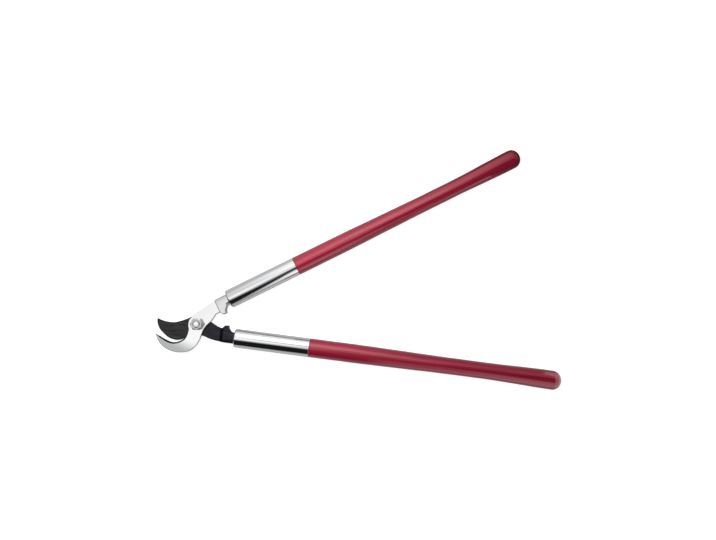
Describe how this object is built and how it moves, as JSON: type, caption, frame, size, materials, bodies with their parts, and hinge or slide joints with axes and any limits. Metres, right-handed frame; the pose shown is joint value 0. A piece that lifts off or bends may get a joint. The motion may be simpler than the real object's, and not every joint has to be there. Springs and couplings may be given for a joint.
{
  "type": "bypass lopper",
  "caption": "Long-handled bypass lopper: a forged hook and cutting blade turn on one bolt, with waisted wooden handles in steel ferrules.",
  "frame": {"origin": "centre of the bolt head's outer face, on the pivot's axis", "axes": "+Z along the pivot from the bolt's head to the nut; +X roughly along the handles, away from the jaws; the lopper lies flat in XY"},
  "size_m": [0.6995, 0.4188, 0.0361],
  "materials": {
    "bright_forging": "satin ground and polished forging",
    "black_forging": "satin black coating on a forging",
    "plain_steel": "bright zinc plate",
    "chrome": "mirror chrome",
    "red_lacquer": "deep red gloss lacquer over turned hardwood"
  },
  "bodies": {
    "hook_half": {"hook_blade": "bright_forging", "upper_ferrule": "chrome", "upper_handle": "red_lacquer", "upper_pin": "plain_steel", "pivot_bolt": "plain_steel", "pivot_nut": "plain_steel", "pivot_washer": "plain_steel"},
    "blade_half": {"cutting_blade": "black_forging", "lower_ferrule": "chrome", "lower_handle": "red_lacquer", "lower_pin": "plain_steel"}
  },
  "joints": [
    {"name": "pivot", "type": "hinge", "parent": "hook_half", "child": "blade_half", "pos_m": [0, 0, 0.01475], "axis": [0, 0, 1], "range_deg": [-60, 23.57]}
  ]
}
